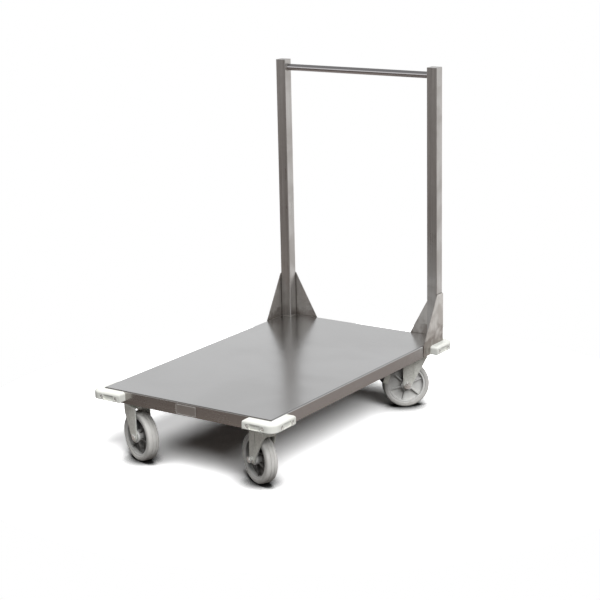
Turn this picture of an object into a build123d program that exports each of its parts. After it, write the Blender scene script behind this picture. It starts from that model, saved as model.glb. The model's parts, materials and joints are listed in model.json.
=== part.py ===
from build123d import *
from math import cos, radians, sin
import os

# Platform cart, in millimetres. +X is the cart's right side, -Y its front end, +Z is up,
# and the origin is on the floor below the middle of the deck.

# Deck
deck_width = 500.0
deck_length = 800.0
deck_sheet = 1.5
deck_bend = 3.0  # outer radius of the folded top edges
deck_corner = 4.0  # outer radius of the welded upright corners
skirt_height = 32.0

# Cross beams and stiffeners under the deck
beam_depth = 30.0  # from the deck's top to the casters' mounting face
beam_sheet = 2.0
beam_lip = 1.0  # the beam reaches this far past the caster plate
stiffener_width = 30.0
stiffener_height = 25.0
stiffener_sheet = 1.5
stiffener_spacing = 200.0
channel_bend = 3.0

# Handle posts and push rod
post_side = 30.0
post_wall = 1.5
post_corner = 2.5
post_height = 720.0  # from the deck's top to the top of the cap
cap_thickness = 1.5
rod_diameter = 18.0
rod_wall = 1.5
rod_drop = 21.0  # from the top of the cap down to the rod's axis

# Gusset plates at the foot of each post
gusset_plate = 2.0
gusset_height = 122.0
side_gusset_reach = 71.0  # ahead of the post, at the deck's top
rear_gusset_reach = 68.0  # inwards of the post, at the deck's top
gusset_corner = 3.0

# Corner bumpers
bumper_thickness = 23.0
bumper_leg = 67.0  # along each face, from the deck's corner
bumper_height = 22.5
bumper_corner = 24.0
bumper_end = 9.0
bumper_edge = 7.0
bumper_lower_edge = 1.5
front_bumper_drop = 2.0  # from the deck's top to the bumper's top
rear_bumper_drop = 9.5
recess_height = 13.0
recess_depth = 2.5
recess_corner = 3.0
boss_diameter = 13.0

# Bumper screws
first_screw = 10.0  # from the deck's corner
screw_spacing = 44.0
screw_drop = 14.0  # from the bumper's top
screw_diameter = 4.5
screw_head_diameter = 8.5
screw_head_height = 2.6
screw_socket = 3.0  # across the flats
screw_seat_diameter = 10.0
screw_seat_depth = 3.2
screw_tip = 3.0  # beyond the skirt

# Bare plate on the front skirt
label_width = 60.0
label_height = 26.0
label_thickness = 0.8
label_corner = 2.0
label_shift = 3.0

# Caster top plates and their bolts
plate_length = 100.0
plate_width = 85.0
plate_thickness = 3.0
plate_corner = 10.0
plate_margin = 1.0  # between the plate and the skirt
hole_spacing_x = 80.0
hole_spacing_y = 60.0
slot_length = 12.0
bolt_diameter = 8.0
bolt_flats = 13.0
bolt_head = 5.3
nut_height = 6.5
bolt_end = 2.0  # beyond the nut

# Swivel heads
cup_radius = 21.0
dish_radius = 18.0
dish_depth = 3.7
kingpin_diameter = 12.0
kingpin_top_radius = 12.0
kingpin_top_height = 3.4
kingpin_foot_radius = 10.0
kingpin_foot_height = 6.0
kingpin_edge = 1.0
ball_diameter = 5.0
ball_circle_radius = 17.5
ball_count = 16
race_radius = 24.0
race_wall = 2.3
race_sheet = 2.0
race_lip = 6.5
race_gap = 0.3  # between the balls and the cup

# Forks
fork_sheet = 3.0
fork_gap = 38.0  # between the legs
fork_bend = 5.0
fork_nose = 30.0  # ahead of the swivel axis
fork_nose_start = 9.0
fork_nose_width = 39.0
fork_crease = 13.0  # behind the swivel axis
crease_line_width = 2.0
crease_line_depth = 1.4
crown_clearance = 13.0  # between the tyre and the crown
crown_lead = 24.0  # where the leg's front edge leaves the nose
nose_band = 10.0
nose_fillet = 9.0
leg_end_radius = 11.0
caster_trail = 29.0

# Wheels
wheel_diameter = 125.0
tread_width = 30.0
tyre_depth = 12.0
tyre_bead = 1.5
tread_crown = 0.8  # the tread's height lost from its middle to its edges
shoulder_round = 5.0
groove_width = 1.4
groove_depth = 1.4
groove_offset = 4.5
band_depth = 5.0
band_width = 27.0
band_edge = 1.0
web_thickness = 6.0
web_fillet = 2.0
hub_radius = 15.0
hub_clearance = 1.0  # between the hub and each leg
rib_count = 6
rib_thickness = 3.0
rib_fall = 5.0  # the rib's height lost from hub to band
rib_start = 13.0  # half height of a rib at the hub

# Axles
axle_diameter = 10.0
axle_flats = 15.0
axle_flange_radius = 9.5
axle_flange = 1.6
axle_head = 3.2
axle_head_radius = 7.5
axle_head_round = 2.6
axle_nut_height = 8.0
axle_end = 1.5  # beyond the nut
hex_chamfer = 0.8

# Brake pedals
brake_gap = 0.4  # between the pedal and the tyre, pressed
pedal_sheet = 2.5
pedal_clearance = 0.5  # between the pedal and each leg
pedal_top_angle = 74.0
pedal_tip_angle = 8.0
eye_radius = 5.0
pin_diameter = 5.0
pin_setback = 4.0  # behind the axle
pin_drop = 6.0  # below the crown
pin_head_radius = 4.0
pin_head = 1.5
cheek_depth = 13.0
cheek_sheet = 2.0
cheek_top_angle = 33.0
pad_low_angle = 10.0
pad_high_angle = 27.0
pad_thickness = 6.0
pad_width = 29.0
pad_round = 1.5

# Fits
running_fit = 0.08  # radial, on pins and axles that turn
bolt_fit = 0.2  # radial, on bolts and screws
seat_fit = 0.05  # radial, on pressed and bonded pieces

# Which way each wheel trails at rest, in degrees from +X
front_left_heading = -20.0
front_right_heading = 155.0
rear_left_heading = -110.0
rear_right_heading = -137.0

# How far each wheel is turned on its axle at rest, in degrees
front_left_turn = 10.0
front_right_turn = -25.0
rear_left_turn = 30.0
rear_right_turn = 18.0

# Heights, from the floor up
axle_height = wheel_diameter / 2
crown_bottom = wheel_diameter + crown_clearance
crown_top = crown_bottom + fork_sheet
race_top = crown_top + race_sheet
cup_bottom = race_top + ball_diameter + race_gap
cup_floor = cup_bottom + plate_thickness
mounting_height = cup_floor + dish_depth
plate_bottom = mounting_height - plate_thickness
deck_top = mounting_height + beam_depth
deck_underside = deck_top - deck_sheet
skirt_bottom = deck_top - skirt_height
post_top = deck_top + post_height

# Places of the casters
beam_width = plate_width + 2 * beam_lip
beam_length = deck_width - 2 * deck_bend
swivel_x = deck_width / 2 - deck_sheet - plate_margin - plate_length / 2
swivel_y = deck_length / 2 - deck_sheet - screw_tip - plate_margin - beam_width / 2
casters = {
    "front_left": (-1, -1, front_left_heading, front_left_turn),
    "front_right": (1, -1, front_right_heading, front_right_turn),
    "rear_left": (-1, 1, rear_left_heading, rear_left_turn),
    "rear_right": (1, 1, rear_right_heading, rear_right_turn),
}
swivel_points = [(side * swivel_x, end * swivel_y) for side, end, heading, turn in casters.values()]

# Places of the posts, flush with the deck's side and rear edges
post_x = deck_width / 2 - post_side / 2
post_y = deck_length / 2 - post_side / 2

os.makedirs("parts", exist_ok=True)


def save(part, name):
    part.label = name
    export_step(part, f"parts/{name}.step")


def side_name(side):
    return "left" if side < 0 else "right"


def end_name(end):
    return "front" if end < 0 else "rear"


def bumper_top(end):
    return deck_top - (front_bumper_drop if end < 0 else rear_bumper_drop)


# Planes on the outer faces of a corner bumper, at the given distance from the deck's corner
def bumper_planes(side, end, distance):
    height = bumper_top(end) - screw_drop
    end_face = Plane(
        origin=(side * (deck_width / 2 - distance), end * (deck_length / 2 + bumper_thickness), height),
        x_dir=(1, 0, 0),
        z_dir=(0, end, 0),
    )
    side_face = Plane(
        origin=(side * (deck_width / 2 + bumper_thickness), end * (deck_length / 2 - distance), height),
        x_dir=(0, 1, 0),
        z_dir=(side, 0, 0),
    )
    return [end_face, side_face]


def screw_planes(side, end):
    near = bumper_planes(side, end, first_screw)
    far = bumper_planes(side, end, first_screw + screw_spacing)
    return near + far


corners = [(side, end) for side in (-1, 1) for end in (-1, 1)]
all_screw_planes = [plane for corner in corners for plane in screw_planes(*corner)]
screw_hole_radius = screw_diameter / 2 + bolt_fit
screw_hole_depth = bumper_thickness + deck_sheet + deck_bend

# Deck shell, open below, notched where the posts stand. The top sheet is folded down along
# both sides, and a folded strip is welded across each end.
with BuildPart() as deck_shell:
    with BuildSketch(Plane.XY.offset(skirt_bottom)):
        RectangleRounded(deck_width, deck_length, deck_corner)
    extrude(amount=skirt_height)
    fillet(deck_shell.faces().sort_by(Axis.Z)[-1].edges(), deck_bend)
    offset(amount=-deck_sheet, openings=deck_shell.faces().sort_by(Axis.Z)[0])
    with BuildSketch(*all_screw_planes):
        Circle(screw_hole_radius)
    extrude(amount=-screw_hole_depth, mode=Mode.SUBTRACT)
    with BuildSketch(Plane.XY.offset(deck_underside)):
        with Locations((-post_x, post_y), (post_x, post_y)):
            RectangleRounded(post_side, post_side, post_corner)
    extrude(amount=deck_sheet, mode=Mode.SUBTRACT)

with BuildPart() as deck_pan:
    add(deck_shell.part)
    with BuildSketch(Plane.XY.offset(skirt_bottom)):
        Rectangle(deck_width, deck_length - 2 * deck_bend)
    extrude(amount=skirt_height, mode=Mode.INTERSECT)
save(deck_pan.part, "deck_pan")

for end in (-1, 1):
    with BuildPart() as end_skirt:
        add(deck_shell.part)
        with BuildSketch(Plane.XY.offset(skirt_bottom)):
            with Locations((0, end * (deck_length / 2 - deck_bend / 2))):
                Rectangle(deck_width, deck_bend)
        extrude(amount=skirt_height, mode=Mode.INTERSECT)
    save(end_skirt.part, f"{end_name(end)}_skirt")


# Channel with its open side up, drawn on a plane across its length, centred along it
def channel(plane, width, height, sheet, length):
    with BuildPart() as piece:
        with BuildSketch(plane):
            Rectangle(width, height, align=(Align.CENTER, Align.MAX))
            Rectangle(width - 2 * sheet, height - sheet, align=(Align.CENTER, Align.MAX), mode=Mode.SUBTRACT)
            fillet(vertices().group_by(Axis.Y)[1], channel_bend - sheet)
            fillet(vertices().group_by(Axis.Y)[0], channel_bend)
        extrude(amount=length / 2, both=True)
    return piece.part


# Cross beams, each carrying two casters
for end in (-1, 1):
    with BuildPart() as beam:
        add(
            channel(
                Plane(origin=(0, end * swivel_y, deck_underside), x_dir=(0, 1, 0), z_dir=(1, 0, 0)),
                beam_width,
                deck_underside - mounting_height,
                beam_sheet,
                beam_length,
            )
        )
        with BuildSketch(Plane.XY.offset(mounting_height)):
            with Locations((-swivel_x, end * swivel_y), (swivel_x, end * swivel_y)):
                with GridLocations(hole_spacing_x, hole_spacing_y, 2, 2):
                    Circle(bolt_diameter / 2 + bolt_fit)
        extrude(amount=beam_sheet, mode=Mode.SUBTRACT)
    save(beam.part, f"{end_name(end)}_beam")

# Stiffeners, between the beams
stiffener_length = 2 * swivel_y - beam_width
for side in (-1, 1):
    stiffener = channel(
        Plane(origin=(side * stiffener_spacing / 2, 0, deck_underside), x_dir=(1, 0, 0), z_dir=(0, -1, 0)),
        stiffener_width,
        stiffener_height,
        stiffener_sheet,
        stiffener_length,
    )
    save(stiffener, f"{side_name(side)}_stiffener")

# Posts, standing in the deck's notches, and their caps
for side in (-1, 1):
    with BuildPart() as post:
        with BuildSketch(Plane.XY.offset(deck_underside)):
            with Locations((side * post_x, post_y)):
                RectangleRounded(post_side, post_side, post_corner)
                inner_side = post_side - 2 * post_wall
                RectangleRounded(inner_side, inner_side, post_corner - post_wall, mode=Mode.SUBTRACT)
        extrude(amount=post_top - cap_thickness - deck_underside)
    save(post.part, f"{side_name(side)}_post")

    with BuildPart() as cap:
        with BuildSketch(Plane.XY.offset(post_top - cap_thickness)):
            with Locations((side * post_x, post_y)):
                RectangleRounded(post_side, post_side, post_corner)
        extrude(amount=cap_thickness)
        fillet(cap.faces().sort_by(Axis.Z)[-1].edges(), cap_thickness / 3)
    save(cap.part, f"{side_name(side)}_post_cap")

# Push rod, a round tube between the posts' inner faces
rod_length = deck_width - 2 * post_side
with BuildPart() as handle_rod:
    with BuildSketch(Plane.YZ.offset(-rod_length / 2)):
        with Locations((post_y, post_top - rod_drop)):
            Circle(rod_diameter / 2)
            Circle(rod_diameter / 2 - rod_wall, mode=Mode.SUBTRACT)
    extrude(amount=rod_length)
save(handle_rod.part, "handle_rod")


# A gusset's outline: up from the skirt's lower edge, over the post and down the slope
def gusset_points(edge, reach):
    post_edge = edge - post_side
    tip = post_edge - reach
    return [
        (edge, skirt_bottom),
        (edge, deck_top + gusset_height),
        (post_edge, deck_top + gusset_height),
        (tip, deck_top),
        (tip, skirt_bottom),
    ]


# Side gussets lie on the deck's and the post's outer faces, rear gussets on their rear faces
for side in (-1, 1):
    with BuildPart() as side_gusset:
        with BuildSketch(Plane.YZ.offset(side * deck_width / 2)):
            with BuildLine():
                Polyline(*gusset_points(deck_length / 2, side_gusset_reach), close=True)
            make_face()
            fillet(vertices().group_by(Axis.Y)[-1], gusset_corner)
        extrude(amount=side * gusset_plate)
        with BuildSketch(*screw_planes(side, 1)):
            Circle(screw_hole_radius)
        extrude(amount=-screw_hole_depth, mode=Mode.SUBTRACT)
    save(side_gusset.part, f"{side_name(side)}_side_gusset")

    with BuildPart() as rear_gusset:
        with BuildSketch(Plane(origin=(0, deck_length / 2, 0), x_dir=(side, 0, 0), z_dir=(0, -side, 0))):
            with BuildLine():
                Polyline(*gusset_points(deck_width / 2, rear_gusset_reach), close=True)
            make_face()
            fillet(vertices().group_by(Axis.Y)[-1], gusset_corner)
        extrude(amount=-side * gusset_plate)
        with BuildSketch(*screw_planes(side, 1)):
            Circle(screw_hole_radius)
        extrude(amount=-screw_hole_depth, mode=Mode.SUBTRACT)
    save(rear_gusset.part, f"{side_name(side)}_rear_gusset")

# Corner bumpers: moulded L blocks, the rear ones over the gussets
for side, end in corners:
    standoff = gusset_plate if end > 0 else 0.0
    outer_x = side * (deck_width / 2 + bumper_thickness)
    outer_y = end * (deck_length / 2 + bumper_thickness)
    inner_x = side * (deck_width / 2 + standoff)
    inner_y = end * (deck_length / 2 + standoff)
    leg_end_x = side * (deck_width / 2 - bumper_leg)
    leg_end_y = end * (deck_length / 2 - bumper_leg)
    seat_planes = [plane.offset(-screw_seat_depth) for plane in screw_planes(side, end)]
    recess_planes = bumper_planes(side, end, first_screw + screw_spacing / 2)

    with BuildPart() as bumper:
        with BuildSketch(Plane.XY.offset(bumper_top(end) - bumper_height)):
            with BuildLine():
                Polyline(
                    (leg_end_x, inner_y),
                    (leg_end_x, outer_y),
                    (outer_x, outer_y),
                    (outer_x, leg_end_y),
                    (inner_x, leg_end_y),
                    (inner_x, inner_y),
                    close=True,
                )
            face = make_face()
            outer_corners = face.vertices().sort_by_distance((outer_x, outer_y))
            leg_corners = [
                vertex
                for vertex in outer_corners[1:]
                if abs(vertex.X - outer_x) < bumper_end or abs(vertex.Y - outer_y) < bumper_end
            ]
            fillet(outer_corners[0], bumper_corner)
            fillet(leg_corners, bumper_end)
        extrude(amount=bumper_height)
        outside = bumper.edges().filter_by(
            lambda edge: abs(edge.center().X) > abs(inner_x) + bumper_end / 2
            or abs(edge.center().Y) > abs(inner_y) + bumper_end / 2
        )
        fillet(outside.group_by(Axis.Z)[-1], bumper_edge)
        outside = bumper.edges().filter_by(
            lambda edge: abs(edge.center().X) > abs(inner_x) + bumper_end / 2
            or abs(edge.center().Y) > abs(inner_y) + bumper_end / 2
        )
        fillet(outside.group_by(Axis.Z)[0], bumper_lower_edge)
        with BuildSketch(*recess_planes):
            RectangleRounded(screw_spacing - boss_diameter, recess_height, recess_corner)
        extrude(amount=-recess_depth, mode=Mode.SUBTRACT)
        with BuildSketch(*screw_planes(side, end)):
            Circle(screw_seat_diameter / 2)
        extrude(amount=-screw_seat_depth, mode=Mode.SUBTRACT)
        with BuildSketch(*seat_planes):
            Circle(screw_hole_radius)
        extrude(amount=-bumper_thickness, mode=Mode.SUBTRACT)
    save(bumper.part, f"{end_name(end)}_{side_name(side)}_bumper")

# Bumper screws, with round heads and hexagon sockets
screw_seats = [plane.offset(-screw_seat_depth) for plane in all_screw_planes]
with BuildPart() as bumper_screws:
    with BuildSketch(*screw_seats):
        Circle(screw_head_diameter / 2)
    extrude(amount=screw_head_height)
    fillet(bumper_screws.edges().filter_by(GeomType.CIRCLE), screw_head_height / 3)
    with BuildSketch(*screw_seats):
        Circle(screw_diameter / 2)
    extrude(amount=-(bumper_thickness - screw_seat_depth + deck_sheet + screw_tip))
    with BuildSketch(*[plane.offset(screw_head_height) for plane in screw_seats]):
        RegularPolygon(screw_socket / 2, 6, major_radius=False)
    extrude(amount=-screw_head_height / 2, mode=Mode.SUBTRACT)
save(bumper_screws.part, "bumper_screws")

# Plate on the front skirt
with BuildPart() as label_plate:
    with BuildSketch(Plane.XZ.offset(deck_length / 2)):
        with Locations((label_shift, skirt_bottom + (skirt_height - deck_bend) / 2)):
            RectangleRounded(label_width, label_height, label_corner)
    extrude(amount=label_thickness)
save(label_plate.part, "label_plate")

# Caster bolts and nuts, through the plates and the beams
with BuildPart() as caster_bolts:
    with BuildSketch(Plane.XY.offset(plate_bottom)):
        with Locations(*swivel_points):
            with GridLocations(hole_spacing_x, hole_spacing_y, 2, 2):
                RegularPolygon(bolt_flats / 2, 6, major_radius=False)
    extrude(amount=-bolt_head)
    chamfer(caster_bolts.faces().group_by(Axis.Z)[0].edges(), hex_chamfer)
    with BuildSketch(Plane.XY.offset(plate_bottom)):
        with Locations(*swivel_points):
            with GridLocations(hole_spacing_x, hole_spacing_y, 2, 2):
                Circle(bolt_diameter / 2)
    extrude(amount=plate_thickness + beam_sheet + nut_height + bolt_end)
save(caster_bolts.part, "caster_bolts")

with BuildPart() as caster_nuts:
    with BuildSketch(Plane.XY.offset(mounting_height + beam_sheet)):
        with Locations(*swivel_points):
            with GridLocations(hole_spacing_x, hole_spacing_y, 2, 2):
                RegularPolygon(bolt_flats / 2, 6, major_radius=False)
                Circle(bolt_diameter / 2 + seat_fit, mode=Mode.SUBTRACT)
    extrude(amount=nut_height)
save(caster_nuts.part, "caster_nuts")

# Kingpins, riveted in the plates' dishes and holding the forks from below
with BuildPart() as kingpins:
    with BuildSketch(Plane.XY.offset(cup_floor)):
        with Locations(*swivel_points):
            Circle(kingpin_top_radius)
    extrude(amount=kingpin_top_height)
    with BuildSketch(Plane.XY.offset(crown_bottom - race_gap)):
        with Locations(*swivel_points):
            Circle(kingpin_foot_radius)
    extrude(amount=-kingpin_foot_height)
    chamfer(kingpins.faces().group_by(Axis.Z)[0].edges(), kingpin_edge)
    chamfer(kingpins.faces().group_by(Axis.Z)[-1].edges(), kingpin_edge)
    with BuildSketch(Plane.XY.offset(crown_bottom - race_gap)):
        with Locations(*swivel_points):
            Circle(kingpin_diameter / 2)
    extrude(amount=cup_floor - crown_bottom + race_gap)
save(kingpins.part, "kingpins")

# One caster is drawn with its swivel axis on the Z axis and its wheel trailing towards +X.

# Top plate, pressed down into a cup that dishes the kingpin's head
with BuildPart() as caster_plate:
    with BuildSketch(Plane.XY.offset(plate_bottom)):
        RectangleRounded(plate_length, plate_width, plate_corner)
        Circle(dish_radius, mode=Mode.SUBTRACT)
        with GridLocations(hole_spacing_x, hole_spacing_y, 2, 2):
            SlotOverall(slot_length, bolt_diameter + 2 * bolt_fit, mode=Mode.SUBTRACT)
    extrude(amount=plate_thickness)
    with BuildSketch(Plane.XY.offset(cup_bottom)):
        Circle(cup_radius)
        Circle(dish_radius, mode=Mode.SUBTRACT)
    extrude(until=Until.NEXT)
    with BuildSketch(Plane.XY.offset(cup_bottom)):
        Circle(dish_radius)
        Circle(kingpin_diameter / 2 + seat_fit, mode=Mode.SUBTRACT)
    extrude(amount=plate_thickness)
    fillet(caster_plate.edges().filter_by(GeomType.CIRCLE).group_by(Axis.Z)[0].sort_by(SortBy.RADIUS)[-1], kingpin_edge)

# Balls between the cup and the fork's race
with BuildPart(Plane.XY.offset(race_top + ball_diameter / 2)) as swivel_balls:
    with PolarLocations(ball_circle_radius, ball_count):
        Sphere(ball_diameter / 2)

# Fork: a pressing with two legs, a flat crown and a rounded nose
fork_half = fork_gap / 2 + fork_sheet
fork_tail = caster_trail + leg_end_radius
leg_foot = axle_height - leg_end_radius
with BuildPart() as fork:
    with BuildSketch(Plane.XY.offset(leg_foot)):
        with BuildLine():
            Polyline(
                (-fork_nose_start, fork_nose_width / 2),
                (fork_crease, fork_half),
                (fork_tail, fork_half),
                (fork_tail, -fork_half),
                (fork_crease, -fork_half),
                (-fork_nose_start, -fork_nose_width / 2),
            )
            ThreePointArc(
                (-fork_nose_start, -fork_nose_width / 2),
                (-fork_nose, 0),
                (-fork_nose_start, fork_nose_width / 2),
            )
        make_face()
    extrude(amount=crown_top - leg_foot)
    crown_edges = fork.faces().sort_by(Axis.Z)[-1].edges()
    fillet(crown_edges.sort_by(Axis.X)[:-1], fork_bend)
    offset(
        amount=-fork_sheet,
        openings=[fork.faces().sort_by(Axis.Z)[0], fork.faces().sort_by(Axis.X)[-1]],
    )
    # seen from the side, the legs narrow from the crown to the axle
    with BuildSketch(Plane.XZ):
        with Locations((caster_trail, axle_height)):
            Circle(leg_end_radius)
        with Locations((-crown_lead, crown_top)):
            Rectangle(crown_lead + fork_tail, nose_band, align=(Align.MIN, Align.MAX))
        make_hull()
        with Locations((-fork_nose, crown_top)):
            Rectangle(fork_nose, nose_band, align=(Align.MIN, Align.MAX))
        fillet(vertices().sort_by_distance((-crown_lead, crown_top - nose_band))[0], nose_fillet)
    extrude(amount=fork_half, both=True, mode=Mode.INTERSECT)
    # a pressed line down each leg, along the crease
    for flip in (-1, 1):
        with BuildSketch(Plane.XZ.offset(flip * fork_half)):
            with Locations((fork_crease, crown_top - fork_bend)):
                Rectangle(crease_line_width, crown_top - leg_foot, align=(Align.MAX, Align.MAX))
        extrude(amount=-flip * crease_line_depth, mode=Mode.SUBTRACT)
    # race ring on the crown
    with BuildSketch(Plane.XY.offset(crown_top)):
        Circle(race_radius)
    extrude(amount=race_sheet)
    with BuildSketch(Plane.XY.offset(race_top)):
        Circle(race_radius)
        Circle(race_radius - race_wall, mode=Mode.SUBTRACT)
    extrude(amount=race_lip)
    with BuildSketch(Plane.XY.offset(crown_bottom)):
        Circle(kingpin_diameter / 2 + running_fit)
    extrude(amount=race_top - crown_bottom, mode=Mode.SUBTRACT)
    with BuildSketch(Plane.XZ):
        with Locations((caster_trail, axle_height)):
            Circle(axle_diameter / 2 + seat_fit)
    extrude(amount=fork_half, both=True, mode=Mode.SUBTRACT)

# The braked casters' fork also has holes for the pedal's pin
pin_x = caster_trail + pin_setback
pin_z = crown_bottom - pin_drop
with BuildPart() as braked_fork:
    add(fork.part)
    with BuildSketch(Plane.XZ):
        with Locations((pin_x, pin_z)):
            Circle(pin_diameter / 2 + seat_fit)
    extrude(amount=fork_half, both=True, mode=Mode.SUBTRACT)

# Brake pedal, shown pressed: an eye on the pin and a band that follows the tyre, with side cheeks
pedal_inner = axle_height + brake_gap
pedal_outer = pedal_inner + pedal_sheet
pedal_half = fork_gap / 2 - pedal_clearance
axle_point = (caster_trail, axle_height)


# Sector of a ring about the axle
def axle_sector(inner, outer, low_angle, high_angle):
    sweep = high_angle - low_angle
    with BuildSketch() as sector:
        with BuildLine():
            inside = CenterArc(axle_point, inner, low_angle, sweep)
            outside = CenterArc(axle_point, outer, low_angle, sweep)
            Line(inside @ 0, outside @ 0)
            Line(inside @ 1, outside @ 1)
        make_face()
    return sector.sketch


def axle_polar(radius, angle):
    x = caster_trail + radius * cos(radians(angle))
    z = axle_height + radius * sin(radians(angle))
    return (x, z)


with BuildPart() as brake_pedal:
    with BuildSketch(Plane.XZ):
        with Locations((pin_x, pin_z)):
            Circle(eye_radius)
        with Locations(axle_polar(pedal_inner + pedal_sheet / 2, pedal_top_angle)):
            Circle(pedal_sheet / 2)
        make_hull()
        add(axle_sector(pedal_inner, pedal_outer, pedal_tip_angle, pedal_top_angle))
    extrude(amount=pedal_half, both=True)
    for flip in (-1, 1):
        with BuildSketch(Plane.XZ.offset(flip * pedal_half)):
            add(axle_sector(pedal_outer - cheek_depth, pedal_outer, pedal_tip_angle, cheek_top_angle))
        extrude(amount=-flip * cheek_sheet)
    with BuildSketch(Plane.XZ):
        with Locations((pin_x, pin_z)):
            Circle(pin_diameter / 2 + running_fit)
    extrude(amount=pedal_half, both=True, mode=Mode.SUBTRACT)

# Foot pad on the pedal's tip
with BuildPart() as pedal_pad:
    with BuildSketch(Plane.XZ):
        add(axle_sector(pedal_outer, pedal_outer + pad_thickness, pad_low_angle, pad_high_angle))
    extrude(amount=pad_width / 2, both=True)
    away = pedal_pad.edges().sort_by_distance((caster_trail, 0, axle_height))
    fillet(away[-4:], pad_round)

# Pivot pin, headed at both ends
with BuildPart() as pedal_pin:
    with BuildSketch(Plane.XZ):
        with Locations((pin_x, pin_z)):
            Circle(pin_diameter / 2)
    extrude(amount=fork_half, both=True)
    for flip in (-1, 1):
        with BuildSketch(Plane.XZ.offset(flip * fork_half)):
            with Locations((pin_x, pin_z)):
                Circle(pin_head_radius)
        extrude(amount=flip * pin_head)

# One wheel is drawn about the Z axis, in the middle of its width.


def radial_plane(angle):
    return Plane(
        origin=(0, 0, 0),
        x_dir=(cos(radians(angle)), sin(radians(angle)), 0),
        z_dir=(sin(radians(angle)), -cos(radians(angle)), 0),
    )


tyre_radius = wheel_diameter / 2
rim_radius = tyre_radius - tyre_depth
band_radius = rim_radius - band_depth
with BuildPart() as tyre:
    with BuildSketch(Plane.XZ):
        with BuildLine():
            Polyline(
                (tyre_radius - tread_crown, tread_width / 2),
                (rim_radius + seat_fit + tyre_bead, tread_width / 2),
                (rim_radius + seat_fit, tread_width / 2 - tyre_bead),
                (rim_radius + seat_fit, tyre_bead - tread_width / 2),
                (rim_radius + seat_fit + tyre_bead, -tread_width / 2),
                (tyre_radius - tread_crown, -tread_width / 2),
            )
            ThreePointArc(
                (tyre_radius - tread_crown, -tread_width / 2),
                (tyre_radius, 0),
                (tyre_radius - tread_crown, tread_width / 2),
            )
        make_face()
        fillet(vertices().group_by(Axis.X)[-1], shoulder_round)
    revolve(axis=Axis.Z)
    with BuildSketch(Plane.XZ):
        with Locations((tyre_radius, -groove_offset), (tyre_radius, groove_offset)):
            Rectangle(2 * groove_depth, groove_width)
    revolve(axis=Axis.Z, mode=Mode.SUBTRACT)

hub_half = fork_gap / 2 - hub_clearance
rib_reach = band_radius + band_depth / 2
with BuildPart() as rim:
    with BuildSketch(Plane.XZ):
        with BuildLine():
            Polyline(
                (axle_diameter / 2 + running_fit, 0),
                (axle_diameter / 2 + running_fit, hub_half),
                (hub_radius, hub_half),
                (hub_radius, web_thickness / 2),
                (band_radius, web_thickness / 2),
                (band_radius, band_width / 2),
                (rim_radius, band_width / 2),
                (rim_radius, 0),
            )
            mirror(about=Plane.XZ)
        make_face()
        web_corners = vertices().filter_by(lambda corner: abs(abs(corner.Y) - web_thickness / 2) < band_edge / 2)
        fillet(web_corners, web_fillet)
        band_corners = vertices().filter_by(lambda corner: abs(abs(corner.Y) - band_width / 2) < band_edge / 2)
        fillet(band_corners.sort_by(Axis.X)[:2], band_edge)
    revolve(axis=Axis.Z)
    for index in range(rib_count):
        with BuildSketch(radial_plane(360 * index / rib_count)):
            with BuildLine():
                Polyline(
                    (hub_radius / 2 + axle_diameter / 4, -rib_start),
                    (rib_reach, -(rib_start - rib_fall)),
                    (rib_reach, rib_start - rib_fall),
                    (hub_radius / 2 + axle_diameter / 4, rib_start),
                    close=True,
                )
            make_face()
        extrude(amount=rib_thickness / 2, both=True)

# Axle bolt, its low round head against one leg, and its nut against the other
with BuildPart() as axle:
    with BuildSketch(Plane.XY.offset(-fork_half)):
        Circle(axle_diameter / 2)
    extrude(amount=2 * fork_half + axle_flange + axle_nut_height + axle_end)
    with BuildSketch(Plane.XY.offset(-fork_half)):
        Circle(axle_head_radius)
    extrude(amount=-axle_head)
    fillet(axle.faces().sort_by(Axis.Z)[0].edges(), axle_head_round)
    chamfer(axle.faces().sort_by(Axis.Z)[-1].edges(), hex_chamfer)

with BuildPart() as axle_nut:
    with BuildSketch(Plane.XY.offset(fork_half)):
        Circle(axle_flange_radius)
    extrude(amount=axle_flange)
    with BuildSketch(Plane.XY.offset(fork_half + axle_flange)):
        RegularPolygon(axle_flats / 2, 6, major_radius=False)
    extrude(amount=axle_nut_height)
    chamfer(axle_nut.faces().sort_by(Axis.Z)[-1].edges(), hex_chamfer)
    with BuildSketch(Plane.XY.offset(fork_half)):
        Circle(axle_diameter / 2 + seat_fit)
    extrude(amount=axle_flange + axle_nut_height, mode=Mode.SUBTRACT)


def save_placed(piece, location, name):
    with BuildPart() as placed:
        with Locations(location):
            add(piece)
    save(placed.part, name)


# The four casters, each turned to its own heading about its swivel axis
for name, (side, end, heading, turn) in casters.items():
    flat_place = Location((side * swivel_x, end * swivel_y, 0))
    swivel_place = Location((side * swivel_x, end * swivel_y, 0), (0, 0, heading))
    axle_place = swivel_place * Location((caster_trail, 0, axle_height), (-90, 0, 0))
    wheel_place = axle_place * Location((0, 0, 0), (0, 0, turn))
    braked = end > 0
    save_placed(caster_plate.part, flat_place, f"{name}_caster_plate")
    save_placed(swivel_balls.part, swivel_place, f"{name}_swivel_balls")
    save_placed(braked_fork.part if braked else fork.part, swivel_place, f"{name}_fork")
    save_placed(axle.part, axle_place, f"{name}_axle")
    save_placed(axle_nut.part, axle_place, f"{name}_axle_nut")
    save_placed(rim.part, wheel_place, f"{name}_rim")
    save_placed(tyre.part, wheel_place, f"{name}_tyre")
    if braked:
        save_placed(brake_pedal.part, swivel_place, f"{name}_brake_pedal")
        save_placed(pedal_pad.part, swivel_place, f"{name}_pedal_pad")
        save_placed(pedal_pin.part, swivel_place, f"{name}_pedal_pin")
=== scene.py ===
import json
import math

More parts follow.
